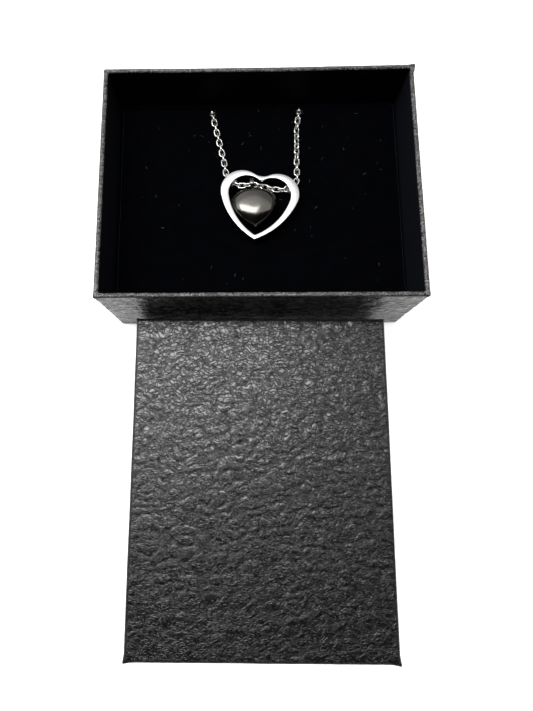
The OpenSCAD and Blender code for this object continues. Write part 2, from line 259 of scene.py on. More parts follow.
def scaled(tree, vector, factor):
    inputs = {0: vector, "Scale": factor}
    return add_node(tree, "ShaderNodeVectorMath", inputs, operation="SCALE").outputs[0]


def drift(tree, place, per_mm, detail, reach):
    """A soft push aside that changes from place to place, of up to about half of reach."""
    colour = clouds(tree, place, per_mm, detail).outputs["Color"]
    return scaled(tree, vector_calc(tree, "SUBTRACT", colour, (0.5, 0.5, 0.5)), reach * MM)


def stretched(tree, place, factors):
    return vector_calc(tree, "MULTIPLY", place, factors)


def ridges(tree, place, per_mm, width):
    """Winding creases, 0 along them and 1 between them."""
    level = clouds(tree, place, per_mm, 2.0, 0.55).outputs[0]
    return spread(tree, calc(tree, "ABSOLUTE", calc(tree, "SUBTRACT", level, 0.5)), 0.0, width)


def leather_relief(tree, place):
    """Heights of the pressed leather pattern from 0 to 1: its broad pads, and the pebbles upon them."""
    bent = vector_calc(tree, "ADD", place, drift(tree, place, 0.20, 2.0, 5.0))
    pads = creased_cells(tree, stretched(tree, bent, (0.75, 1.15, 1.15)), 0.27, 0.22)
    folds = ridges(tree, stretched(tree, bent, (0.45, 1.25, 1.25)), 0.26, 0.10)
    crooked = vector_calc(tree, "ADD", bent, drift(tree, place, 0.55, 1.0, 1.4))
    pebbles = creased_cells(tree, stretched(tree, crooked, (0.6, 1.1, 1.1)), 1.0, 0.15)
    wrinkles = ridges(tree, stretched(tree, crooked, (0.5, 1.2, 1.2)), 0.7, 0.05)
    patch = spread(tree, clouds(tree, place, 0.035, 1.0).outputs[0], 0.42, 0.58)
    broad = add_node(tree, "ShaderNodeMix", {"Factor": patch, "A": pads, "B": folds}).outputs[0]
    pebbled = calc(tree, "MULTIPLY_ADD", pebbles, 0.6, 0.4)
    wrinkled = calc(tree, "MULTIPLY_ADD", wrinkles, 0.6, 0.4)
    return broad, calc(tree, "MULTIPLY", pebbled, wrinkled)


def new_material(name, **values):
    """A material with one main shader, whose plain numbers are set on its own sockets."""
    material = bpy.data.materials.new(name)
    material.use_nodes = True
    tree = material.node_tree
    shader = tree.nodes["Principled BSDF"]
    for label, value in values.items():
        shader.inputs[label.replace("_", " ")].default_value = value
    place = tree.nodes.new("ShaderNodeTexCoord").outputs["Object"]
    return material, tree, shader, place


def blend_colour(tree, factor, low, high):
    """A colour between two, by a factor from 0 to 1."""
    ramp = tree.nodes.new("ShaderNodeValToRGB")
    ramp.color_ramp.elements[0].color = (*low, 1)
    ramp.color_ramp.elements[1].color = (*high, 1)
    tree.links.new(factor, ramp.inputs[0])
    return ramp.outputs["Color"]


def set_colour(tree, shader, factor, low, high):
    tree.links.new(blend_colour(tree, factor, low, high), shader.inputs["Base Color"])


def mix_colours(tree, factor, first, second):
    """A mix of two colours, by the sockets that share their names with a number mix's."""
    mix = tree.nodes.new("ShaderNodeMix")
    mix.data_type = "RGBA"
    tree.links.new(factor, mix.inputs[0])
    for socket, colour in zip([s for s in mix.inputs if s.type == "RGBA"], (first, second)):
        tree.links.new(colour, socket)
    return next(s for s in mix.outputs if s.type == "RGBA")


def set_bump(tree, shader, height, depth, strength=1.0):
    inputs = {"Height": height, "Distance": depth * MM, "Strength": strength}
    bump = add_node(tree, "ShaderNodeBump", inputs)
    tree.links.new(bump.outputs["Normal"], shader.inputs["Normal"])


def attribute(tree, name):
    return add_node(tree, "ShaderNodeAttribute", attribute_name=name).outputs["Fac"]


def embossed_paper():
    """Black paper pressed with a leather grain, rubbed grey along the rims and edges; on the tray's rim
    the grey also serves as a painted highlight on its top and inner edge, and the black left on its outer
    rounding as painted shade.
    """
    material, tree, shader, place = new_material("embossed_paper")
    broad, fine = leather_relief(tree, place)
    relief = calc(tree, "MULTIPLY_ADD", broad, 0.5, calc(tree, "MULTIPLY", fine, 0.5))
    fibre = clouds(tree, place, 5.0, 3.0, 0.65).outputs[0]
    grain = attribute(tree, "grain")
    scuffs = spread(tree, clouds(tree, place, 2.2, 4.0, 0.75).outputs[0], 0.40, 0.60)
    # Grey where the paper is rubbed; on the tray's rim this also paints its light inner edge and leaves
    # its outer rounding dark as painted shade.
    rubbed_and_shaded = calc(tree, "MULTIPLY", attribute(tree, "wear_and_shade"), scuffs)
    black = blend_colour(tree, relief, (0.002, 0.002, 0.0022), (0.006, 0.006, 0.0062))
    grey = blend_colour(tree, relief, (0.05, 0.05, 0.05), (0.26, 0.26, 0.255))
    tree.links.new(mix_colours(tree, rubbed_and_shaded, black, grey), shader.inputs["Base Color"])
    smooth_pads = spread(tree, relief, 0.0, 1.0, 0.34, 0.22)
    rough = calc(tree, "MULTIPLY_ADD", rubbed_and_shaded, 0.1, smooth_pads)
    tree.links.new(rough, shader.inputs["Roughness"])
    pressed = calc(tree, "MINIMUM", grain, 0.8)
    shine = calc(tree, "MULTIPLY", spread(tree, fine, 0.2, 0.9, 0.3, 1.1), pressed)
    tree.links.new(shine, shader.inputs["Specular IOR Level"])
    height = calc(tree, "MULTIPLY_ADD", broad, 0.35, calc(tree, "MULTIPLY_ADD", fibre, 0.10, fine))
    set_bump(tree, shader, calc(tree, "MULTIPLY", height, grain), 0.06)
    return material


def lining_paper():
    """Smooth near-black paper inside the box."""
    material, tree, shader, place = new_material("lining_paper", Roughness=0.6, Specular_IOR_Level=0.2)
    fibre = clouds(tree, place, 3.0, 4.0, 0.6).outputs[0]
    set_colour(tree, shader, fibre, (0.002, 0.0025, 0.005), (0.005, 0.006, 0.010))
    set_bump(tree, shader, fibre, 0.02, 0.5)
    return material


def velvet_pile():
    """Short black velvet: matt, with a faint sheen and an uneven nap."""
    material, tree, shader, place = new_material(
        "velvet_pile", Roughness=1.0, Specular_IOR_Level=0.0,
        Sheen_Weight=0.12, Sheen_Roughness=0.3, Sheen_Tint=(0.5, 0.6, 0.8, 1),
    )
    nap = clouds(tree, place, 0.25, 4.0, 0.6).outputs[0]
    pile = clouds(tree, place, 9.0, 2.0, 0.6).outputs[0]
    set_colour(tree, shader, nap, (0.0007, 0.0008, 0.0012), (0.0018, 0.002, 0.003))
    set_bump(tree, shader, pile, 0.08, 0.8)
    return material


def lint_fibre():
    """Pale grey lint."""
    material, tree, shader, place = new_material("lint_fibre", Roughness=0.9)
    tone = clouds(tree, place, 0.5).outputs[0]
    set_colour(tree, shader, tone, (0.08, 0.08, 0.09), (0.45, 0.45, 0.46))
    return material


def satin_steel():
    """Fine-brushed steel on the frame's faces."""
    material, tree, shader, place = new_material("satin_steel", Metallic=1.0)
    brushed = clouds(tree, stretched(tree, place, (0.15, 2.2, 1.0)), 6.0, 3.0, 0.6).outputs[0]
    set_colour(tree, shader, brushed, (0.57, 0.575, 0.58), (0.67, 0.675, 0.68))
    tree.links.new(spread(tree, brushed, 0.3, 0.7, 0.27, 0.36), shader.inputs["Roughness"])
    set_bump(tree, shader, brushed, 0.004, 0.6)
    return material


def polished_steel(name="polished_steel", rough=(0.05, 0.13), tone=0.78):
    """Polished steel with faint handling marks, a little warm in tone."""
    material, tree, shader, place = new_material(name, Metallic=1.0)
    marks = clouds(tree, place, 1.6, 5.0, 0.7).outputs[0]
    dull, bright = (tone - 0.04, tone - 0.05, tone - 0.08), (tone + 0.03, tone + 0.025, tone)
    set_colour(tree, shader, marks, dull, bright)
    tree.links.new(spread(tree, marks, 0.35, 0.7, *rough), shader.inputs["Roughness"])
    set_bump(tree, shader, marks, 0.002, 0.5)
    return material


def black_plate():
    """Black plated steel, polished."""
    material, tree, shader, place = new_material("black_plate", Metallic=1.0)
    marks = clouds(tree, place, 1.2, 5.0, 0.7).outputs[0]
    set_colour(tree, shader, marks, (0.13, 0.124, 0.114), (0.17, 0.162, 0.15))
    tree.links.new(spread(tree, marks, 0.35, 0.7, 0.13, 0.22), shader.inputs["Roughness"])
    set_bump(tree, shader, marks, 0.002, 0.4)
    return material


def table_top():
    """Plain white table, lit from within so that its shadows stay pale, except in the narrow gap."""
    material, tree, shader, place = new_material("table_top", Roughness=0.9, Emission_Color=(1, 1, 1, 1))
    openness = add_node(tree, "ShaderNodeAmbientOcclusion", {"Distance": TABLE_GAP * MM}).outputs["AO"]
    glow = spread(tree, openness, *TABLE_SHUT_OPEN, 0.0, TABLE_GLOW)
    tree.links.new(glow, shader.inputs["Emission Strength"])
    paper = clouds(tree, place, 0.02, 2.0).outputs[0]
    set_colour(tree, shader, paper, (0.78, 0.78, 0.78), (0.82, 0.82, 0.82))
    return material


# Mesh helpers

def make_piece(name, points, faces, materials, face_materials=None):
    """A new object from points in millimetres."""
    mesh = bpy.data.meshes.new(name)
    mesh.from_pydata([Vector(p) * MM for p in points], [], faces)
    for material in materials:
        mesh.materials.append(material)
    if face_materials:
        mesh.polygons.foreach_set("material_index", face_materials)
    mesh.polygons.foreach_set("use_smooth", [True] * len(mesh.polygons))
    piece = bpy.data.objects.new(name, mesh)
    bpy.context.scene.collection.objects.link(piece)
    return piece


def keep_result(piece):
    """Turns a piece's modifiers into its plain mesh."""
    depsgraph = bpy.context.evaluated_depsgraph_get()
    result = bpy.data.meshes.new_from_object(
        piece.evaluated_get(depsgraph), preserve_all_data_layers=True, depsgraph=depsgraph
    )
    piece.modifiers.clear()
    piece.data = result


def cut_or_join(piece, other, operation):
    """Cuts another solid out of a piece, or joins it on."""
    modifier = piece.modifiers.new(operation.lower(), "BOOLEAN")
    modifier.operation = operation
    modifier.solver = "EXACT"
    modifier.object = other
    keep_result(piece)
    bpy.data.objects.remove(other)


def shade_by_angle(piece, degrees):
    mesh = piece.data
    mesh.polygons.foreach_set("use_smooth", [True] * len(mesh.polygons))
    mesh.set_sharp_from_angle(angle=math.radians(degrees))


def finish_piece(piece, node_names):
    """Fastens a piece to the body, in place of its solids."""
    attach(piece, "root")
    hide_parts(*node_names)


def new_tree(name, sizes):
    """A geometry node tree with named number inputs."""
    tree = bpy.data.node_groups.new(name, "GeometryNodeTree")
    tree.interface.new_socket("Geometry", in_out="INPUT", socket_type="NodeSocketGeometry")
    for label, value in sizes.items():
        kind = "NodeSocketInt" if isinstance(value, int) else "NodeSocketFloat"
        tree.interface.new_socket(label, in_out="INPUT", socket_type=kind).default_value = value
    tree.interface.new_socket("Geometry", in_out="OUTPUT", socket_type="NodeSocketGeometry")
    return tree, tree.nodes.new("NodeGroupInput").outputs


def end_tree(tree, geometry, material):
    """Ends a tree in real meshes with their material."""
    real = add_node(tree, "GeometryNodeRealizeInstances", {"Geometry": geometry}).outputs[0]
    painted = add_node(tree, "GeometryNodeSetMaterial", {"Geometry": real, "Material": material})
    add_node(tree, "NodeGroupOutput", {"Geometry": painted.outputs[0]})


def run_tree(piece, tree, values):
    """Runs a tree on a piece with its inputs set, and keeps the mesh that comes out."""
    modifier = piece.modifiers.new(tree.name, "NODES")
    modifier.node_group = tree
    for item in tree.interface.items_tree:
        if item.item_type == "SOCKET" and item.in_out == "INPUT" and item.name in values:
            modifier[item.identifier] = values[item.name]
    keep_result(piece)


def half_of(tree, value):
    return calc(tree, "MULTIPLY", value, 0.5)


def round_curve(tree, resolution, radius):
    inputs = {"Resolution": resolution, "Radius": radius}
    return add_node(tree, "GeometryNodeCurvePrimitiveCircle", inputs).outputs[0]


def sweep(tree, curve, profile, caps=False):
    """A bar along a curve."""
    inputs = {"Curve": curve, "Profile Curve": profile, "Fill Caps": caps}
    return add_node(tree, "GeometryNodeCurveToMesh", inputs).outputs[0]


def named_values(tree, name, data_type):
    inputs = {"Name": name}
    return add_node(tree, "GeometryNodeInputNamedAttribute", inputs, data_type=data_type).outputs[0]


# Box and pad, from rings of points round a rectangle

END_STEPS = (0, 0.12, 0.3, 0.55, 0.9, 1.3)


def stations(half, cell):
    """Places along a side from -1 to 1, closer together near its ends."""
    ends = [half - step for step in END_STEPS]
    count = max(2, round(2 * ends[-1] / cell))
    middle = [ends[-1] * (2 * k / count - 1) for k in range(count + 1)]
    return [v / half for v in [-v for v in ends[:-1]] + middle + ends[-2::-1]]


def rounded(x, y, half_w, half_d, corner):
    """Moves a point of a rectangle's corner onto its rounded corner."""
    over_x = abs(x) - (half_w - corner)
    over_y = abs(y) - (half_d - corner)
    if over_x <= 0 or over_y <= 0:
        return x, y
    pull = max(over_x, over_y) / math.hypot(over_x, over_y)
    return (
        math.copysign(half_w - corner + over_x * pull, x),
        math.copysign(half_d - corner + over_y * pull, y),
    )


def turned(x, y, degrees):
    a = math.radians(degrees)
    return x * math.cos(a) - y * math.sin(a), x * math.sin(a) + y * math.cos(a)


class Shell:
    """Points and faces of a wrapped box or pad, with the grain's depth and the wear at each point; on the
    tray's rim that wear also lays painted shade and a painted highlight.
    """

    def __init__(self, half_w, half_d, cell):
        self.half_w = half_w
        self.half_d = half_d
        self.across = stations(half_w, cell)
        self.up = stations(half_d, cell)
        self.points = []
        self.faces = []
        self.kinds = []
        self.grain = []
        self.wear_and_shade = []
        self.around = 2 * (len(self.across) + len(self.up)) - 4
        self.last = None

    def _add_point(self, x, y, z, grain, wear_and_shade):
        self.points.append((x, y, z))
        self.grain.append(grain)
        self.wear_and_shade.append(wear_and_shade)

    def ring(self, inset, z, corner, grain, wear_and_shade=0.0, kind=OUTSIDE):
        """Adds a ring and joins it to the last one."""
        w = self.half_w - inset
        d = self.half_d - inset
        loop = [(t * w, -d) for t in self.across[:-1]]
        loop += [(w, t * d) for t in self.up[:-1]]
        loop += [(t * w, d) for t in self.across[:0:-1]]
        loop += [(-w, t * d) for t in self.up[:0:-1]]
        first = len(self.points)
        for x, y in loop:
            self._add_point(*rounded(x, y, w, d, corner), z, grain, wear_and_shade)
        self._bridge([first + k for k in range(self.around)], kind)

    def _bridge(self, loop, kind):
        if self.last is not None:
            for k in range(self.around):
                n = (k + 1) % self.around
                self.faces.append((self.last[k], self.last[n], loop[n], loop[k]))
                self.kinds.append(kind)
        self.last = loop

    def cap(self, kind, downward):
        """Closes the last ring with one flat face."""
        self.faces.append(tuple(reversed(self.last)) if downward else tuple(self.last))
        self.kinds.append(kind)

    def top_grid(self, inset, z):
        """Closes the last ring with a fine grid, which takes the full grain and no wear or painted shade.
        """
        w = self.half_w - inset
        d = self.half_d - inset
        wide, deep = len(self.across), len(self.up)
        first = len(self.points)
        for v in self.up:
            for u in self.across:
                self._add_point(u * w, v * d, z, 1.0, 0.0)
        rim = [first + i for i in range(wide - 1)]
        rim += [first + j * wide + wide - 1 for j in range(deep - 1)]
        rim += [first + (deep - 1) * wide + i for i in range(wide - 1, 0, -1)]
        rim += [first + j * wide for j in range(deep - 1, 0, -1)]
        self._bridge(rim, OUTSIDE)
        for j in range(deep - 1):
            for i in range(wide - 1):
                a = first + j * wide + i
                self.faces.append((a, a + 1, a + wide + 1, a + wide))
                self.kinds.append(OUTSIDE)

    def rounded_edge(self, inset, z, radius, turn, corner, grain, wear_and_shade=0.0, steps=5):
        """Rings over a rounded edge about (inset, z); of the angles, 0 faces out and 90 up."""
        for k in range(steps + 1):
            a = math.radians(turn[0] + (turn[1] - turn[0]) * k / steps)
            self.ring(inset - radius * math.cos(a), z + radius * math.sin(a), corner, grain, wear_and_shade)

    def piece(self, name, centre, materials, bend, turn=0.0):
        """The finished object, turned and moved to its place after bend has shifted each point."""
        points = []
        for point in self.points:
            x, y, z = bend(*point)
            x, y = turned(x, y, turn)
            points.append((x + centre[0], y + centre[1], z))
        made = make_piece(name, points, self.faces, materials, self.kinds)
        for label, values in (("grain", self.grain), ("wear_and_shade", self.wear_and_shade)):
            layer = made.data.attributes.new(label, "FLOAT", "POINT")
            layer.data.foreach_set("value", values)
        return made


def levels(low, high, cell):
    """Heights from low to high, both left out."""
    count = max(1, round((high - low) / cell))
    return [low + (high - low) * k / count for k in range(1, count)]


def wave(x, y, z, per_mm, seed):
    return noise.noise(Vector((x * per_mm + seed, y * per_mm - seed, z * per_mm)))


def bump_near(distance, width):
    return math.exp(-((distance / width) ** 2))


# Folded corners that stand out a little: the side along X and Y, the push and how far it reaches
LID_EARS = [(-1, -1, 0.42, 1.3), (1, -1, 0.5, 1.5), (-1, 1, 0.15, 1.3), (1, 1, 0.15, 1.3)]
TRAY_EARS = [(1, 1, 0.55, 1.0), (-1, 1, 0.15, 1.0), (-1, -1, 0.25, 1.2), (1, -1, 0.2, 1.2)]


def corner_push(x, y, half_w, half_d, ears):
    """Shift of a point near a folded corner, outwards along the corner's diagonal."""
    shift_x = shift_y = 0.0
    for side_x, side_y, push, reach in ears:
        far = math.hypot(x - side_x * half_w, y - side_y * half_d)
        amount = push * bump_near(far, reach)
        shift_x += side_x * amount
        shift_y += side_y * amount
    return shift_x, shift_y


def emboss_tree():
    """Presses the leather grain into a wrapped box: each point moves along its normal by the relief."""
    tree, inputs = new_tree("emboss_grain", {"Depth": GRAIN_DEPTH * MM})
    place = tree.nodes.new("GeometryNodeInputPosition").outputs[0]
    normal = tree.nodes.new("GeometryNodeInputNormal").outputs[0]
    grain = named_values(tree, "grain", "FLOAT")
    sunk = calc(tree, "SUBTRACT", leather_relief(tree, place)[0], 0.8)
    depth = calc(tree, "MULTIPLY", calc(tree, "MULTIPLY", sunk, inputs["Depth"]), grain)
    offset = scaled(tree, normal, depth)
    moved = add_node(tree, "GeometryNodeSetPosition", {"Geometry": inputs["Geometry"], "Offset": offset})
    real = add_node(tree, "GeometryNodeRealizeInstances", {"Geometry": moved.outputs[0]}).outputs[0]
    add_node(tree, "NodeGroupOutput", {"Geometry": real})
    return tree


def make_tray(paper, lining, emboss):
    shell = Shell(TRAY_HALF[0], TRAY_HALF[1], GRAIN_CELL)
    rim_z = TRAY_TOP - RIM_ROUND
    inner = CARD - RIM_ROUND
    foot = FOOT_ROUND
    shell.ring(foot, 0.0, FOOT_CORNER, grain=0.4)
    shell.cap(OUTSIDE, downward=True)
    shell.rounded_edge(foot, foot, foot, (-90, 0), TRAY_CORNER, grain=0.7, wear_and_shade=0.2, steps=4)
    for z in levels(foot, rim_z, GRAIN_CELL):
        shell.ring(0, z, TRAY_CORNER, grain=1.6)
    shell.ring(0, rim_z - 0.15, TRAY_CORNER, grain=0.6)
    # The rim's rubbed grey is real wear, but it is kept off the outer rounding and the inner edge's
    # lowest turn as painted shade, and laid on the top and inner edge as a painted highlight.
    shell.rounded_edge(RIM_ROUND, rim_z, RIM_ROUND, (0, 45), TRAY_CORNER, grain=0.4, wear_and_shade=0.1, steps=3)
    shell.rounded_edge(RIM_ROUND, rim_z, RIM_ROUND, (60, 90), TRAY_CORNER, grain=0.5, wear_and_shade=1.0, steps=2)
    shell.rounded_edge(inner, rim_z, RIM_ROUND, (90, 150), RIM_CORNER, grain=0.4, wear_and_shade=1.0, steps=3)
    shell.rounded_edge(inner, rim_z, RIM_ROUND, (165, 180), RIM_CORNER, grain=0.2, wear_and_shade=0.1, steps=1)
    for z in [*reversed(levels(CARD, rim_z, LINING_CELL)), CARD]:
        shell.ring(CARD, z, INNER_CORNER, grain=0.0, kind=INSIDE)
    shell.cap(INSIDE, downward=False)

    def bend(x, y, z):
        up = z / TRAY_TOP
        push_x, push_y = corner_push(x, y, TRAY_HALF[0], TRAY_HALF[1], TRAY_EARS)
        lean = TRAY_LEFT_LEAN * up if x < EDGE_BAND - TRAY_HALF[0] else 0.0
        draw = up * max(0.0, x / TRAY_HALF[0]) if y > TRAY_HALF[1] - EDGE_BAND else 0.0
        draw_x, draw_y = TRAY_FAR_RIGHT_DRAW
        x += push_x * up ** 6 - lean + draw_x * draw
        y += push_y * up ** 6 + TRAY_WAVES[0] * up * wave(x, 0, z, 0.06, 3.1) + draw_y * draw
        z += TRAY_WAVES[1] * up * wave(x, y, 0, 0.05, 8.7)
        return x, y, max(z, 0.0)

    tray = shell.piece("gift_tray", TRAY_AT, [paper, lining], bend)
    run_tree(tray, emboss, {"Depth": GRAIN_DEPTH * MM})
    finish_piece(tray, ["tray"])


def make_lid(paper, lining, emboss):
    shell = Shell(LID_HALF[0], LID_HALF[1], GRAIN_CELL)
    edge = LID_EDGE_ROUND
    edge_z = LID_TOP - edge
    inner = CARD - RIM_ROUND
    shell.ring(CARD, LID_TOP - CARD, INNER_CORNER, grain=0.0, kind=INSIDE)
    shell.cap(INSIDE, downward=True)
    for z in reversed(levels(RIM_ROUND, LID_TOP - CARD, LINING_CELL)):
        shell.ring(CARD, z, INNER_CORNER, grain=0.0, kind=INSIDE)
    shell.rounded_edge(inner, RIM_ROUND, RIM_ROUND, (180, 270), RIM_CORNER, grain=0.2, wear_and_shade=0.4)
    shell.rounded_edge(RIM_ROUND, RIM_ROUND, RIM_ROUND, (-90, 0), LID_CORNER, grain=0.3, wear_and_shade=0.5)
    for z in levels(RIM_ROUND, edge_z, GRAIN_CELL):
        shell.ring(0, z, LID_CORNER, grain=1.0)
    shell.rounded_edge(edge, edge_z, edge, (0, 80), LID_CORNER, grain=0.3, wear_and_shade=0.2, steps=6)
    shell.top_grid(edge, LID_TOP)

    def bend(x, y, z):
        up = z / LID_TOP
        push_x, push_y = corner_push(x, y, LID_HALF[0], LID_HALF[1], LID_EARS)
        left_out = LID_LEFT_OUT if x < EDGE_BAND - LID_HALF[0] else 0.0
        far_out = LID_FAR_OUT if y > LID_HALF[1] - EDGE_BAND else 0.0
        x += push_x * up ** 2 + LID_WAVES[0] * wave(0, y, z, 0.06, 5.3) - left_out
        y += push_y * up ** 2 + LID_WAVES[0] * wave(x, 0, z, 0.06, 1.9) + far_out
        z += LID_WAVES[1] * up * wave(x, y, 0, 0.035, 4.4)
        return x, y, max(z, 0.0)

    lid = shell.piece("gift_lid", LID_AT, [paper, lining], bend, LID_TURN)
    run_tree(lid, emboss, {"Depth": GRAIN_DEPTH * MM})
    finish_piece(lid, ["lid"])


# Hearts, drawn from arcs that run smoothly into each other

def side_centre(lobe, lobe_r, side_r, tip):
    """Middle of the long side arc, which touches the lobe from around it and ends in the tip."""
    down = tip - lobe
    far = down.length
    u = down / far
    near_r = side_r - lobe_r
    along = (near_r ** 2 - side_r ** 2 + far ** 2) / (2 * far)
    return lobe + u * along + Vector((u.y, -u.x)) * math.sqrt(near_r ** 2 - along ** 2)


def cleft_centre(lobe, lobe_r, cleft_r):
    """Middle of the small arc that rounds the cleft between the lobes."""
    return Vector((0, lobe.y + math.sqrt((cleft_r + lobe_r) ** 2 - lobe.x ** 2)))


def direction(v):
    return math.degrees(math.atan2(v.y, v.x))


def unit(degrees):
    a = math.radians(degrees)
    return Vector((math.cos(a), math.sin(a)))


def arc_points(centre, radius, start, end, steps):
    """Points on an arc from one angle to another, without the last one."""
    return [centre + unit(start + (end - start) * k / steps) * radius for k in range(steps)]


def heart_outline(lobe, lobe_r, side_r, cleft_r, tip, steps):
    """Points round a heart from its tip, the right half first, with steps for its three arcs."""
    side = side_centre(lobe, lobe_r, side_r, tip)
    cleft = cleft_centre(lobe, lobe_r, cleft_r)
    meet = direction(lobe - side)
    top = direction(cleft - lobe)
    half = arc_points(side, side_r, direction(tip - side), meet, steps[0])
    half += arc_points(lobe, lobe_r, meet, top, steps[1])
    half += arc_points(cleft, cleft_r, top - 180, -90, steps[2])
    half.append(Vector((0, cleft.y - cleft_r)))
    return half + [Vector((-p.x, p.y)) for p in half[-2:0:-1]]


def inset_outline(outline, distance):
    """The outline moved inwards, or outwards if the distance is negative, with its corners kept."""
    count = len(outline)
    moved = []
    for k, p in enumerate(outline):
        before = (p - outline[k - 1]).normalized()
        after = (outline[(k + 1) % count] - p).normalized()
        normal = Vector((-before.y - after.y, before.x + after.x)).normalized()
        lean = max(0.4, normal.dot(Vector((-before.y, before.x))))
        moved.append(p + normal * distance / lean)
    return moved


def placed(p, z, at, turn):
    """A flat point of the frame or the urn, turned and moved to where it lies in the tray."""
    x, y = turned(p[0], p[1], turn)
    return x + at[0] + TRAY_AT[0], y + at[1] + TRAY_AT[1], z


OPENING_LOBE = Vector((
    FRAME_LOBE.x + FRAME_LOBE_R - BAND_SIDE - OPENING_LOBE_R,
    FRAME_LOBE_R - BAND_TOP - OPENING_LOBE_R,
))
OPENING_TIP = FRAME_TIP + Vector((0, BAND_TIP))
FRAME_Z = PAD_TOP + REST_GAP + FRAME_DEPTH / 2
URN_Z = PAD_TOP + REST_GAP + URN_THICK / 2

# The hole through the right shoulder: its mouth, its way inwards and how far it runs to the opening
HOLE_MOUTH = FRAME_LOBE + unit(HOLE_PLACE) * FRAME_LOBE_R
HOLE_WAY = -unit(HOLE_SLOPE)
HOLE_BACK = HOLE_MOUTH - OPENING_LOBE
HOLE_NEAR = -HOLE_BACK.dot(HOLE_WAY)
HOLE_REACH = HOLE_NEAR - math.sqrt(HOLE_NEAR ** 2 - HOLE_BACK.length_squared + OPENING_LOBE_R ** 2)


def loop_faces(ring_count, around, closed):
    """Faces between rings of points, closed into a torus or left open at both ends."""
    faces = []
    for r in range(ring_count if closed else ring_count - 1):
        a = r * around
        b = ((r + 1) % ring_count) * around
        for k in range(around):
            n = (k + 1) % around
            faces.append((a + k, a + n, b + n, b + k))
    return faces


def tube_between(name, start, end, radius, sides, materials):
    """A closed round bar between two points in millimetres."""
    start, end = Vector(start), Vector(end)
    turn = (end - start).to_track_quat("Z", "Y")
    points = []
    for centre in (start, end):
        for k in range(sides):
            a = 2 * math.pi * k / sides
            points.append(centre + turn @ Vector((radius * math.cos(a), radius * math.sin(a), 0)))
    faces = loop_faces(2, sides, False)
    faces += [tuple(reversed(range(sides))), tuple(range(sides, 2 * sides))]
    return make_piece(name, points, faces, materials)


def make_frame_heart(satin, polished):
    """The frame: a closed band between two hearts with eased edges, drilled in each shoulder."""
    steps = (36, 44, 10)
    outer = heart_outline(
        FRAME_LOBE, FRAME_LOBE_R, FRAME_SIDE_R, FRAME_CLEFT_R, FRAME_TIP, steps
    )
    inner = heart_outline(
        OPENING_LOBE, OPENING_LOBE_R, OPENING_SIDE_R, OPENING_CLEFT_R, OPENING_TIP, steps
    )
    half = FRAME_DEPTH / 2
    turns = [0, 30, 60, 90]
    section = []
    for outline, way, side in ((outer, 1, 1), (inner, -1, 1), (inner, -1, -1), (outer, 1, -1)):
        for degrees in turns if way == side else turns[::-1]:
            a = math.radians(degrees)
            inset = way * FRAME_BEVEL * (1 - math.cos(a))
            rise = side * (half - FRAME_BEVEL * (1 - math.sin(a)))
            section.append((outline, inset, rise))
    points = []
    for outline, inset, rise in section:
        points += [placed(p, FRAME_Z + rise, FRAME_AT, FRAME_TURN) for p in inset_outline(outline, inset)]
    faces = loop_faces(len(section), len(outer), True)
    frame_heart = make_piece("frame_heart_ring", points, faces, [satin, polished])
    past = 1.5
    mouths = (HOLE_MOUTH - HOLE_WAY * past, HOLE_MOUTH + HOLE_WAY * (HOLE_REACH + past))
    for side in (-1, 1):
        ends = [placed((side * p.x, p.y), FRAME_Z, FRAME_AT, FRAME_TURN) for p in mouths]
        drill = tube_between("drill", *ends, HOLE_D / 2, 48, [polished])
        cut_or_join(frame_heart, drill, "DIFFERENCE")
    mesh = frame_heart.data
    mesh.materials.clear()
    mesh.materials.append(satin)
    mesh.materials.append(polished)
    for face in mesh.polygons:
        face.material_index = 0 if abs(face.normal.z) > 0.9 else 1
    shade_by_angle(frame_heart, 33)
    finish_piece(frame_heart, ["frame_heart"])


def puffed_points(outline, half_thick, spine, layers):
    """Rings of a puffed heart from its back to its front, without the two poles."""
    mean = sum((p - spine).length for p in outline) / len(outline)
    rings = []
    for k in range(-layers, layers + 1):
        a = math.radians(90 * k / (layers + 1))
        shrink = math.cos(a) ** URN_SHRINK
        ease = URN_ROUNDING * abs(math.sin(a)) ** URN_EASE
        for p in outline:
            away = p - spine
            round_away = away.normalized() * mean
            flat = spine + (away * (1 - ease) + round_away * ease) * shrink
            rings.append((flat.x, flat.y, half_thick * math.sin(a)))
    return rings, 2 * layers + 1


def puffed_heart(name, outline, half_thick, layers, materials):
    spine = Vector((0, -URN_LOBE_R / 3))
    rings, count = puffed_points(outline, half_thick, spine, layers)
    around = len(outline)
    points = rings + [(spine.x, spine.y, -half_thick), (spine.x, spine.y, half_thick)]
    faces = loop_faces(count, around, False)
    faces += [(count * around, (k + 1) % around, k) for k in range(around)]
    top = (count - 1) * around
    faces += [(count * around + 1, top + k, top + (k + 1) % around) for k in range(around)]
    points = [placed(p, URN_Z + p[2], URN_AT, URN_TURN) for p in points]
    return make_piece(name, points, faces, materials)


URN_CLEFT_Y = cleft_centre(URN_LOBE, URN_LOBE_R, URN_CLEFT_R).y - URN_CLEFT_R
BAIL_R = BAIL_BORE / 2 + BAIL_BAND
BAIL_Y = URN_CLEFT_Y + BAIL_NECK + BAIL_R
ROD_SIDES = 40


def on_urn(x, y, z=0.0):
    """A point given from the urn's middle, where it lies in the tray."""
    return placed((x, y), URN_Z + z, URN_AT, URN_TURN)


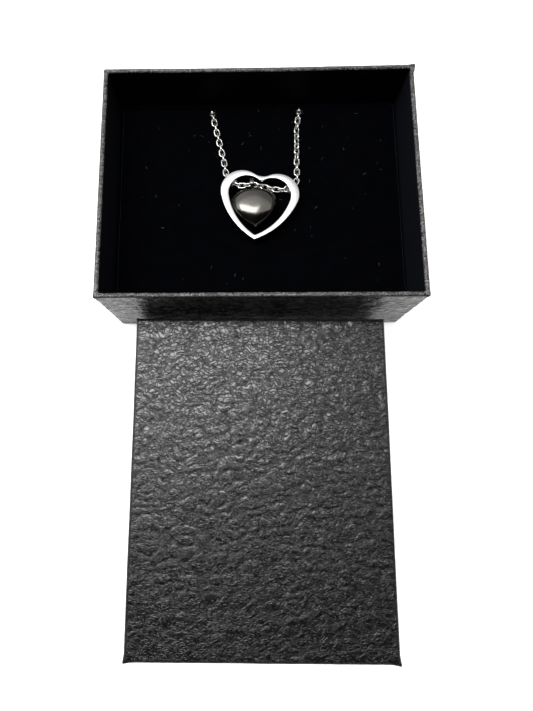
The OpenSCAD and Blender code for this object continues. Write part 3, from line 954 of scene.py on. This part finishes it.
def make_urn_heart(plate):
    """The urn: a puffed heart, hollowed out and drilled at its cleft."""
    outline = heart_outline(URN_LOBE, URN_LOBE_R, URN_SIDE_R, URN_CLEFT_R, URN_TIP, (28, 40, 8))
    urn = puffed_heart("urn_heart_shell", outline, URN_THICK / 2, 22, [plate])
    hollow_outline = heart_outline(
        URN_LOBE, URN_LOBE_R - URN_WALL, URN_SIDE_R - URN_WALL, URN_CLEFT_R + URN_WALL,
        URN_TIP + Vector((0, 2 * URN_WALL)), (10, 16, 4),
    )
    hollow = puffed_heart("hollow", hollow_outline, URN_THICK / 2 - URN_WALL, 8, [plate])
    cut_or_join(urn, hollow, "DIFFERENCE")
    ends = on_urn(0, URN_CLEFT_Y - URN_WALL - PLUG_LEN), on_urn(0, URN_CLEFT_Y + 1)
    fill = tube_between("fill_hole", *ends, FILL_D / 2, ROD_SIDES, [plate])
    cut_or_join(urn, fill, "DIFFERENCE")
    shade_by_angle(urn, 40)
    finish_piece(urn, ["urn_heart"])


def make_bail(plate):
    """The bail: a ring with eased edges, turned about the chain's way, on its neck and screw plug."""
    near, far = BAIL_BORE / 2 + BAIL_EASE, BAIL_R - BAIL_EASE
    side = BAIL_W / 2 - BAIL_EASE
    profile = []
    for r, w, start in ((near, -side, 180), (far, -side, 270), (far, side, 0), (near, side, 90)):
        for k in range(5):
            a = math.radians(start + 90 * k / 4)
            profile.append((r + BAIL_EASE * math.cos(a), w + BAIL_EASE * math.sin(a)))
    around = 72
    points = []
    for r, w in profile:
        for k in range(around):
            a = 2 * math.pi * k / around
            points.append(on_urn(-BAIL_SHIFT + w, BAIL_Y + r * math.cos(a), r * math.sin(a)))
    bail = make_piece("bail_ring", points, loop_faces(len(profile), around, True), [plate])
    neck_top = BAIL_Y - BAIL_R + BAIL_BAND / 2
    plug_y = URN_CLEFT_Y + REST_GAP
    for name, low, high, radius in (
        ("neck", plug_y - NECK_SINK, neck_top, NECK_D / 2),
        ("plug", plug_y - PLUG_LEN, plug_y, FILL_D / 2 - THREAD_GAP),
    ):
        rod = tube_between(name, on_urn(0, low), on_urn(0, high), radius, ROD_SIDES, [plate])
        cut_or_join(bail, rod, "UNION")
    shade_by_angle(bail, 40)
    finish_piece(bail, ["bail"])


# The chain's route, a line of corners with a bend radius each, given from the tray's middle

FLOOR_Z = CARD + LINK_W / 2 + REST_GAP
PAD_Z = PAD_TOP + LINK_W / 2 + REST_GAP
RUN_X = PAD_HALF[0] - PAD_SKIRT - LINK_W
RUN_BACK = PAD_HALF[1] - PAD_SKIRT - 2 * LINK_W
RUN_FRONT = -RUN_BACK - LINK_W


def frame_place(side, p):
    """A point of the frame's shoulder hole, left or right, given from the tray's middle."""
    x, y, z = placed((side * p.x, p.y), FRAME_Z, FRAME_AT, FRAME_TURN)
    return x - TRAY_AT[0], y - TRAY_AT[1], z


def route_corners(fold_y):
    """Corners of the route as (x, y, z, bend radius), from the clasp's left eye to its right eye."""
    bail_x, bail_y, bail_z = on_urn(-BAIL_SHIFT, BAIL_Y)
    bail_x -= TRAY_AT[0]
    bail_y -= TRAY_AT[1]
    outside = HOLE_MOUTH - HOLE_WAY * OUTSIDE_STEP
    inside = HOLE_MOUTH + HOLE_WAY * (HOLE_REACH + INSIDE_STEP)
    left_drop, right_drop = CHAIN_POINTS[0], CHAIN_POINTS[-1]

    def lying(k, r):
        """The chain's chosen point k on the pad, with a bend radius."""
        x, y, rise = CHAIN_POINTS[k]
        return x, y, PAD_Z + rise, r

    return [
        (CLASP_X - CLASP_SPAN / 2, fold_y, FLOOR_Z, 0),
        (-FOLD_X, fold_y, FLOOR_Z, CORNER_R),
        (-FOLD_X, RUN_FRONT, FLOOR_Z, CORNER_R),
        (-RUN_X, RUN_FRONT, FLOOR_Z, CORNER_R),
        (-RUN_X, RUN_BACK, FLOOR_Z, CORNER_R),
        (left_drop[0], left_drop[1], FLOOR_Z, BEND_R),
        (left_drop[0], left_drop[1], PAD_Z, BEND_R),
        *[lying(k, GENTLE_R) for k in (1, 2, 3)],
        (*frame_place(-1, outside), HOLE_BEND_R),
        (*frame_place(-1, inside), HOLE_BEND_R),
        lying(4, BAIL_BEND_R),
        (bail_x - BAIL_STEP, bail_y, bail_z, BAIL_BEND_R),
        (bail_x + BAIL_STEP, bail_y, bail_z, BAIL_BEND_R),
        *[lying(k, ACROSS_R) for k in (5, 6)],
        (*frame_place(1, inside), HOLE_BEND_R),
        (*frame_place(1, outside), HOLE_BEND_R),
        *[lying(k, GENTLE_R) for k in (7, 8, 9)],
        (right_drop[0], right_drop[1], PAD_Z, BEND_R),
        (right_drop[0], right_drop[1], FLOOR_Z, BEND_R),
        (RUN_X, RUN_BACK, FLOOR_Z, CORNER_R),
        (RUN_X, RUN_FRONT, FLOOR_Z, CORNER_R),
        (FOLD_X, RUN_FRONT, FLOOR_Z, CORNER_R),
        (FOLD_X, fold_y, FLOOR_Z, CORNER_R),
        (CLASP_X + CLASP_SPAN / 2, fold_y, FLOOR_Z, 0),
    ]


def bend_points(a, b, c, radius):
    """Points of the arc that rounds the corner b between a and c."""
    u = (b - a).normalized()
    v = (c - b).normalized()
    turn = math.acos(max(-1, min(1, u.dot(v))))
    if math.degrees(turn) < 1:
        return [b]
    cut = radius * math.tan(turn / 2)
    middle = b + (v - u).normalized() * radius / math.cos(turn / 2)
    spoke = b - u * cut - middle
    steps = max(2, math.ceil(math.degrees(turn) / 8))
    return [
        middle + spoke * math.cos(turn * k / steps) + u * radius * math.sin(turn * k / steps)
        for k in range(steps + 1)
    ]


def route_points(rows):
    places = [Vector(row[:3]) for row in rows]
    points = [places[0]]
    for k in range(1, len(rows) - 1):
        points += bend_points(places[k - 1], places[k], places[k + 1], rows[k][3])
    return points + [places[-1]]


def distances(points):
    run = [0.0]
    for a, b in zip(points, points[1:]):
        run.append(run[-1] + (b - a).length)
    return run


def between(table, x):
    """Value at x in a table of (x, value) rows, held at its ends."""
    if x <= table[0][0]:
        return table[0][1]
    for (x0, v0), (x1, v1) in zip(table, table[1:]):
        if x <= x1:
            return v0 + (v1 - v0) * (x - x0) / (x1 - x0)
    return table[-1][1]


def link_places():
    """Each link's centre, from the model's origin, and its turn about X, Y and Z in radians."""
    count = 2 * round((NECKLACE_LEN - CLASP_SPAN) / LINK_PITCH / 2 - 0.5) + 1
    plain_run = distances(route_points(route_corners(0)))[-1]
    route = route_points(route_corners((count * LINK_PITCH - plain_run) / 2))
    run = distances(route)
    table = list(zip(run, route))
    joints = [between(table, k * LINK_PITCH) for k in range(count + 1)]
    ways = [(b - a).normalized() for a, b in zip(joints, joints[1:])]
    headings = []
    heading = math.atan2(ways[0].y, ways[0].x)
    for k, way in enumerate(ways):
        if math.hypot(way.x, way.y) > STEEP:
            angle = math.atan2(way.y, way.x)
            heading = angle - 2 * math.pi * round((angle - heading) / (2 * math.pi))
            headings.append((k, heading))
    foot = CHAIN_POINTS[7][1]
    head = CHAIN_POINTS[-1][1] - BEND_R
    places = []
    for k, way in enumerate(ways):
        centre = (joints[k] + joints[k + 1]) / 2
        roll = 90 if k % 2 == 0 else 0
        if centre.z > PAD_TOP and centre.x > 0 and centre.y > foot:
            roll += STRAND_TURN * math.sin(math.pi * (centre.y - foot) / (head - foot))
        turn = (math.radians(roll), -math.asin(way.z), between(headings, k))
        places.append((centre + Vector((TRAY_AT[0], TRAY_AT[1], 0)), turn))
    return places


def chain_tree(steel):
    """Sets an oval link of round wire at each point of a mesh, turned as the point's turn says."""
    tree, inputs = new_tree("chain_links", {
        "Link length": LINK_LEN * MM, "Link width": LINK_W * MM, "Wire": LINK_WIRE * MM,
        "Steps round": LINK_STEPS, "Wire sides": WIRE_SIDES,
    })
    bow_r = half_of(tree, calc(tree, "SUBTRACT", inputs["Link width"], inputs["Wire"]))
    straight = half_of(tree, calc(tree, "SUBTRACT", inputs["Link length"], inputs["Link width"]))
    bow = add_node(tree, "GeometryNodeTransform", {
        "Geometry": round_curve(tree, inputs["Steps round"], bow_r),
        "Rotation": (0, 0, math.pi / LINK_STEPS),
    }).outputs[0]
    place = tree.nodes.new("GeometryNodeInputPosition").outputs[0]
    side = calc(tree, "SIGN", add_node(tree, "ShaderNodeSeparateXYZ", {0: place}).outputs[0])
    shift = add_node(tree, "ShaderNodeCombineXYZ", {0: calc(tree, "MULTIPLY", side, straight)}).outputs[0]
    oval = add_node(tree, "GeometryNodeSetPosition", {"Geometry": bow, "Offset": shift}).outputs[0]
    wire = round_curve(tree, inputs["Wire sides"], half_of(tree, inputs["Wire"]))
    link = sweep(tree, oval, wire)
    smooth = add_node(tree, "GeometryNodeSetShadeSmooth", {"Geometry": link}).outputs[0]
    turn = named_values(tree, "turn", "FLOAT_VECTOR")
    rotation = add_node(tree, "FunctionNodeEulerToRotation", {0: turn}).outputs[0]
    links = add_node(tree, "GeometryNodeInstanceOnPoints", {
        "Points": inputs["Geometry"], "Instance": smooth, "Rotation": rotation,
    })
    end_tree(tree, links.outputs[0], steel)
    return tree


def make_chains(steel):
    places = link_places()
    middle = math.ceil(len(places) / 2)
    tree = chain_tree(steel)
    sizes = {"Link length": LINK_LEN * MM, "Link width": LINK_W * MM, "Wire": LINK_WIRE * MM}
    for node, strand in (("chain_left", places[:middle]), ("chain_right", places[middle:])):
        chain = make_piece(node + "_links", [centre for centre, _ in strand], [], [])
        turns = chain.data.attributes.new("turn", "FLOAT_VECTOR", "POINT")
        turns.data.foreach_set("vector", [v for _, turn in strand for v in turn])
        run_tree(chain, tree, sizes)
        finish_piece(chain, [node])


def slit_ways():
    """Each slit's drop point and the way from it towards the strand it leads to."""
    for drop, near in ((CHAIN_POINTS[0], CHAIN_POINTS[1]), (CHAIN_POINTS[-1], CHAIN_POINTS[-2])):
        start = Vector(drop[:2])
        yield start, (Vector(near[:2]) - start).normalized()


def half_turn(steps):
    return [math.pi * k / steps for k in range(steps + 1)]


def slit_cutter(start, way, length, low, high, materials):
    """A round-ended bar that cuts a slit through the pad."""
    half = LINK_W / 2 + SLIT_ROOM
    end = start + way * length
    side = Vector((-way.y, way.x))
    outline = [end + (side * math.cos(a) + way * math.sin(a)) * half for a in half_turn(12)]
    outline += [start - (side * math.cos(a) + way * math.sin(a)) * half for a in half_turn(12)]
    count = len(outline)
    points = [(p.x + TRAY_AT[0], p.y + TRAY_AT[1], z) for z in (low, high) for p in reversed(outline)]
    faces = loop_faces(2, count, False)
    faces += [tuple(reversed(range(count))), tuple(range(count, 2 * count))]
    return make_piece("slit", points, faces, materials)


def make_pad(velvet):
    """The pad: a hollow board with a rolled edge, dimpled where the chain dives through its slits."""
    shell = Shell(PAD_HALF[0], PAD_HALF[1], PAD_CELL)
    board = PAD_TOP - PAD_BOARD
    edge_z = PAD_TOP - PAD_EDGE_ROUND
    shell.ring(PAD_SKIRT, board, PAD_SKIRT_CORNER, grain=0.0)
    shell.cap(OUTSIDE, downward=True)
    for z in [*reversed(levels(PAD_FOOT, board, 3)), PAD_FOOT]:
        shell.ring(PAD_SKIRT, z, PAD_SKIRT_CORNER, grain=0.0)
    for z in [PAD_FOOT, *levels(PAD_FOOT, edge_z, 1.5)]:
        shell.ring(PAD_TUCK, z, PAD_CORNER, grain=0.0)
    steps = 8
    for k in range(steps):
        a = math.radians(90 * k / steps)
        inset = PAD_TUCK + PAD_EDGE_ROUND * (1 - math.cos(a))
        shell.ring(inset, PAD_TOP - PAD_EDGE_ROUND * (1 - math.sin(a)), PAD_CORNER, grain=1.0)
    shell.top_grid(PAD_TUCK + PAD_EDGE_ROUND, PAD_TOP)
    slits = list(slit_ways())
    slit_len = BEND_R + SLIT_START - LINK_W / 2 - SLIT_ROOM

    def bend(x, y, z):
        if z > board + PAD_SKIRT_CORNER:
            z -= PAD_SAG + PAD_SAG * wave(x, y, 0, 0.06, 2.2)
            for start, way in slits:
                along = max(0.0, min(slit_len, (Vector((x, y)) - start).dot(way)))
                far = (Vector((x, y)) - start - way * along).length
                z -= DIMPLE_DEPTH * bump_near(far, DIMPLE_REACH)
        return x, y, z

    pad = shell.piece("velvet_pad", PAD_AT, [velvet], bend)
    for start, way in slits:
        cutter = slit_cutter(start, way, slit_len, board - 1, PAD_TOP + 1, [velvet])
        cut_or_join(pad, cutter, "DIFFERENCE")
    shade_by_angle(pad, 60)
    finish_piece(pad, ["pad"])


def lint_tree(material):
    """Scatters short bent fibres over a surface."""
    tree, inputs = new_tree("lint_scatter", {
        "Per square metre": LINT_PER_SQUARE_METRE, "Fibre": LINT_LEN * MM, "Thickness": LINT_THICK * MM,
        "Seed": LINT_SEED,
    })
    spots = add_node(tree, "GeometryNodeDistributePointsOnFaces", {
        "Mesh": inputs["Geometry"], "Density": inputs["Per square metre"], "Seed": inputs["Seed"],
    })
    half = half_of(tree, inputs["Fibre"])
    ends = {}
    for label, x, y in (("Start", -1.0, 0.0), ("Middle", 0.1, 0.9), ("End", 1.0, 0.2)):
        flat = {0: calc(tree, "MULTIPLY", half, x), 1: calc(tree, "MULTIPLY", half, y)}
        ends[label] = add_node(tree, "ShaderNodeCombineXYZ", flat).outputs[0]
    bow = add_node(tree, "GeometryNodeCurveQuadraticBezier", {"Resolution": 4, **ends}).outputs[0]
    fibre = sweep(tree, bow, round_curve(tree, 3, half_of(tree, inputs["Thickness"])), caps=True)
    turn = add_node(tree, "FunctionNodeRandomValue", {"Seed": inputs["Seed"]}, data_type="FLOAT_VECTOR")
    turn.inputs["Min"].default_value = (-0.2, -0.2, 0)
    turn.inputs["Max"].default_value = (0.2, 0.2, 2 * math.pi)
    size = add_node(tree, "FunctionNodeRandomValue", {"Seed": 11}, data_type="FLOAT")
    smallest, largest = [s for s in size.inputs if s.type == "VALUE"][:2]
    smallest.default_value = 0.25
    largest.default_value = 1.2
    rotation = add_node(tree, "FunctionNodeEulerToRotation", {0: turn.outputs[0]}).outputs[0]
    scale = next(s for s in size.outputs if s.type == "VALUE")
    laid = add_node(tree, "GeometryNodeInstanceOnPoints", {
        "Points": spots.outputs["Points"], "Instance": fibre, "Rotation": rotation, "Scale": scale,
    })
    end_tree(tree, laid.outputs[0], material)
    return tree


def make_lint(material):
    """Lint on the velvet, kept to the pad's flat top."""
    w, d = PAD_HALF[0] - LINT_MARGIN, PAD_HALF[1] - LINT_MARGIN
    x, y = PAD_AT[0], PAD_AT[1]
    z = PAD_TOP - 0.02
    sheet = [(x - w, y - d, z), (x + w, y - d, z), (x + w, y + d, z), (x - w, y + d, z)]
    lint = make_piece("velvet_lint", sheet, [(0, 1, 2, 3)], [])
    run_tree(lint, lint_tree(material), {"Seed": LINT_SEED})
    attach(lint, "root")


def make_floor():
    far = TABLE_HALF
    corners = [(-far, -far, 0), (far, -far, 0), (far, far, 0), (-far, far, 0)]
    floor = make_piece("table", corners, [(0, 1, 2, 3)], [table_top()])


def make_camera():
    data = bpy.data.cameras.new("camera")
    data.lens = CAMERA_LENS
    data.sensor_width = CAMERA_SENSOR
    data.sensor_fit = "AUTO"
    data.shift_x = CAMERA_SHIFT
    data.clip_start = 0.005
    camera = bpy.data.objects.new("camera", data)
    bpy.context.scene.collection.objects.link(camera)
    yaw = Matrix.Rotation(math.radians(CAMERA_YAW), 4, "Z")
    tilt = Matrix.Rotation(math.radians(CAMERA_TILT), 4, "X")
    roll = Matrix.Rotation(math.radians(CAMERA_ROLL), 4, "Z")
    camera.matrix_world = Matrix.Translation(Vector(CAMERA_AT) * MM) @ yaw @ tilt @ roll
    bpy.context.scene.camera = camera


def soft_light(name, at, aim, size, watts):
    """A soft rectangular lamp at a place in metres, turned towards its aim."""
    data = bpy.data.lights.new(name, "AREA")
    data.shape = "RECTANGLE"
    data.size, data.size_y = size
    data.energy = watts
    lamp = bpy.data.objects.new(name, data)
    bpy.context.scene.collection.objects.link(lamp)
    back = (Vector(at) - Vector(aim)).normalized()
    across = (Vector((1, 0, 0)) - back * back.x).normalized()
    turn = Matrix((across, back.cross(across), back)).transposed()
    lamp.matrix_world = Matrix.Translation(at) @ turn.to_4x4()
    lamp.visible_camera = False


def make_light():
    """A long soft strip overhead, in a room that is pale behind the tray and dark on the lid's side."""
    soft_light("overhead_strip", STRIP_AT, STRIP_AIM, STRIP_SIZE, STRIP_WATTS)
    world = bpy.data.worlds.new("room")
    world.use_nodes = True
    tree = world.node_tree
    room = tree.nodes["Background"]
    room.inputs["Color"].default_value = (1, 1, 1, 1)
    place = tree.nodes.new("ShaderNodeTexCoord").outputs["Generated"]
    way = add_node(tree, "ShaderNodeSeparateXYZ", {0: place})
    up = calc(tree, "MAXIMUM", way.outputs[2], 0.02)
    # Slope of each way to the back: 0 is straight up, and less than 0 is the lid's side
    back = calc(tree, "DIVIDE", way.outputs[1], up)
    pale = spread(tree, back, -0.20, -0.02, 0.02, 1.5)
    dimming = spread(tree, back, 0.45, 0.9, 1.0, 0.4)
    paler_left = spread(tree, way.outputs[0], -0.5, 0.4, 1.25, 0.65)
    strength = calc(tree, "MULTIPLY", calc(tree, "MULTIPLY", pale, dimming), paler_left)
    tree.links.new(strength, room.inputs["Strength"])
    backdrop = add_node(tree, "ShaderNodeBackground", {"Color": (0.9, 0.9, 0.9, 1), "Strength": 1.0})
    seen = tree.nodes.new("ShaderNodeLightPath").outputs["Is Camera Ray"]
    both = add_node(tree, "ShaderNodeMixShader", {0: seen, 1: room.outputs[0], 2: backdrop.outputs[0]})
    tree.links.new(both.outputs[0], tree.nodes["World Output"].inputs["Surface"])
    bpy.context.scene.world = world
    bpy.context.scene.view_settings.view_transform = "Standard"


make_camera()
make_light()
make_floor()
paper = embossed_paper()
lining = lining_paper()
velvet = velvet_pile()
satin = satin_steel()
polished = polished_steel()
plate = black_plate()
emboss = emboss_tree()
make_tray(paper, lining, emboss)
make_lid(paper, lining, emboss)
make_pad(velvet)
make_lint(lint_fibre())
make_frame_heart(satin, polished)
make_urn_heart(plate)
make_bail(plate)
make_chains(polished_steel("chain_steel", (0.20, 0.30), 0.9))
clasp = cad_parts["clasp"]
clasp.data.materials.clear()
clasp.data.materials.append(polished)
